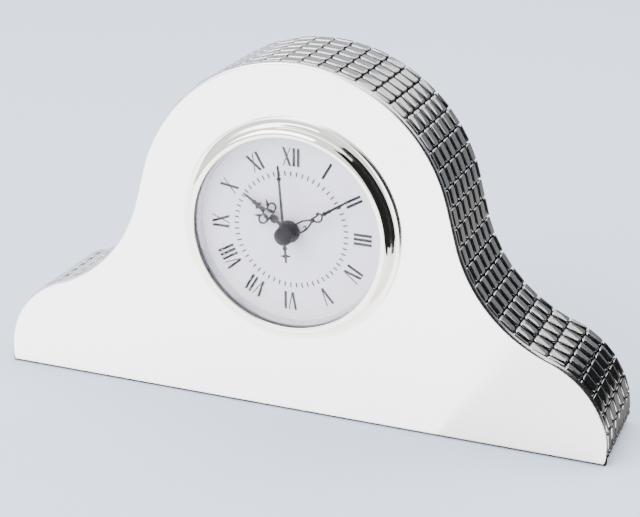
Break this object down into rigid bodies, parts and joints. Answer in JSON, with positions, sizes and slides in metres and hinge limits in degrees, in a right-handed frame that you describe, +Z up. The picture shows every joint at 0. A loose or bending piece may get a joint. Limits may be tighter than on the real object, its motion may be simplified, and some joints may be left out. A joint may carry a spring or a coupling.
{
  "type": "mantel clock",
  "caption": "Arched mantel clock with a polished front plate, a side band of raised metal bars and a round quartz insert with Roman numerals and ornate hands.",
  "frame": {"origin": "on the table, under the middle of the case's width and depth, at the centre of the felt pad's underside", "axes": "+Z up, the dial faces -Y, +X to the right seen from the dial"},
  "size_m": [0.2105, 0.0449, 0.118],
  "materials": {
    "silver_plate": "polished silver plate",
    "band_silver": "polished bars",
    "band_dark": "blackened strip",
    "case_wood": "plain fibreboard",
    "velvet": "black velvet on board",
    "felt": "black felt",
    "screw_steel": "nickel plated",
    "bezel_nickel": "polished nickel",
    "lens_glass": "clear domed glass",
    "gasket_plastic": "soft black",
    "dial_ring_grey": "satin grey",
    "dial_white": "lavender white lacquer",
    "print_grey": "printed ink",
    "shell_black": "moulded black",
    "rubber_black": "matte",
    "movement_plastic": "moulded ivory",
    "stator_steel": "stamped sheet",
    "bobbin_plastic": "white nylon",
    "copper_wire": "enamelled copper wire",
    "board_green": "solder mask",
    "can_metal": "drawn can",
    "epoxy_black": "potting blob",
    "contact_brass": "sprung strip",
    "magnet_grey": "sintered magnet",
    "wheel_brass": "cut brass",
    "hand_black": "satin black lacquer",
    "knob_black": "moulded, fluted",
    "cell_steel": "nickel plated can"
  },
  "bodies": {
    "case": {"front_plate": "silver_plate", "core_block": "case_wood", "band_strip": "band_dark", "band_bars": "band_silver", "back_board": "velvet", "back_screws": "screw_steel", "base_pad": "felt"},
    "insert": {"bezel": "bezel_nickel", "lens": "lens_glass", "lens_gasket": "gasket_plastic", "dial_ring": "dial_ring_grey", "dial": "dial_white", "hour_numerals": "print_grey", "minute_track": "print_grey", "insert_shell": "shell_black", "grip_ring": "rubber_black", "rear_cover": "shell_black", "cover_screws": "screw_steel", "front_movement_plate": "movement_plastic", "rear_movement_plate": "movement_plastic", "movement_screws": "screw_steel", "stator": "stator_steel", "coil_bobbin": "bobbin_plastic", "coil_winding": "copper_wire", "circuit_board": "board_green", "quartz_can": "can_metal", "chip": "epoxy_black", "contact_plus": "contact_brass", "contact_minus": "contact_brass"},
    "rotor": {"rotor": "magnet_grey"},
    "fifth_wheel": {"fifth_wheel": "wheel_brass"},
    "seconds_shaft": {"seconds_wheel": "wheel_brass", "second_hand": "hand_black"},
    "third_wheel": {"third_wheel": "wheel_brass"},
    "center_wheel": {"center_wheel": "wheel_brass"},
    "minute_shaft": {"cannon_pinion": "wheel_brass", "minute_hand": "hand_black"},
    "setting_shaft": {"minute_wheel": "wheel_brass", "setting_knob": "knob_black"},
    "hour_shaft": {"hour_wheel": "wheel_brass", "hour_hand": "hand_black"},
    "battery": {"battery": "cell_steel"},
    "battery_hatch": {"battery_hatch": "knob_black"}
  },
  "joints": [
    {"name": "insert_pull", "type": "slide", "parent": "case", "child": "insert", "axis": [0, -1, 0], "range_m": [0, 0.026]},
    {"name": "second_turn", "type": "hinge", "parent": "insert", "child": "seconds_shaft", "pos_m": [0, -0.0122, 0.06355], "axis": [0, 1, 0], "continuous": true},
    {"name": "fifth_turn", "type": "hinge", "parent": "insert", "child": "fifth_wheel", "pos_m": [0.00624, -0.0122, 0.05995], "axis": [0, 1, 0], "continuous": true},
    {"name": "rotor_turn", "type": "hinge", "parent": "insert", "child": "rotor", "pos_m": [0.01078, -0.0122, 0.05733], "axis": [0, 1, 0], "continuous": true},
    {"name": "third_turn", "type": "hinge", "parent": "insert", "child": "third_wheel", "pos_m": [-0.00589, -0.0122, 0.06015], "axis": [0, 1, 0], "continuous": true},
    {"name": "center_turn", "type": "hinge", "parent": "insert", "child": "center_wheel", "pos_m": [0, -0.0122, 0.06355], "axis": [0, 1, 0], "continuous": true},
    {"name": "minute_turn", "type": "hinge", "parent": "insert", "child": "minute_shaft", "pos_m": [0, -0.0122, 0.06355], "axis": [0, 1, 0], "continuous": true},
    {"name": "knob_turn", "type": "hinge", "parent": "insert", "child": "setting_shaft", "pos_m": [0, -0.0122, 0.07075], "axis": [0, 1, 0], "continuous": true},
    {"name": "hour_turn", "type": "hinge", "parent": "insert", "child": "hour_shaft", "pos_m": [0, -0.0122, 0.06355], "axis": [0, 1, 0], "continuous": true},
    {"name": "hatch_pull", "type": "slide", "parent": "insert", "child": "battery_hatch", "axis": [0, 1, 0], "range_m": [0, 0.018]},
    {"name": "battery_pull", "type": "slide", "parent": "insert", "child": "battery", "axis": [0, 1, 0], "range_m": [0, 0.009]}
  ],
  "couplings": [
    {"joint": "fifth_turn", "follows": "second_turn", "ratio": -5},
    {"joint": "rotor_turn", "follows": "second_turn", "ratio": 30},
    {"joint": "third_turn", "follows": "second_turn", "ratio": -0.13333},
    {"joint": "center_turn", "follows": "second_turn", "ratio": 0.016667},
    {"joint": "knob_turn", "follows": "minute_turn", "ratio": -0.33333},
    {"joint": "hour_turn", "follows": "minute_turn", "ratio": 0.083333},
    {"joint": "battery_pull", "follows": "hatch_pull", "ratio": 0.5}
  ]
}
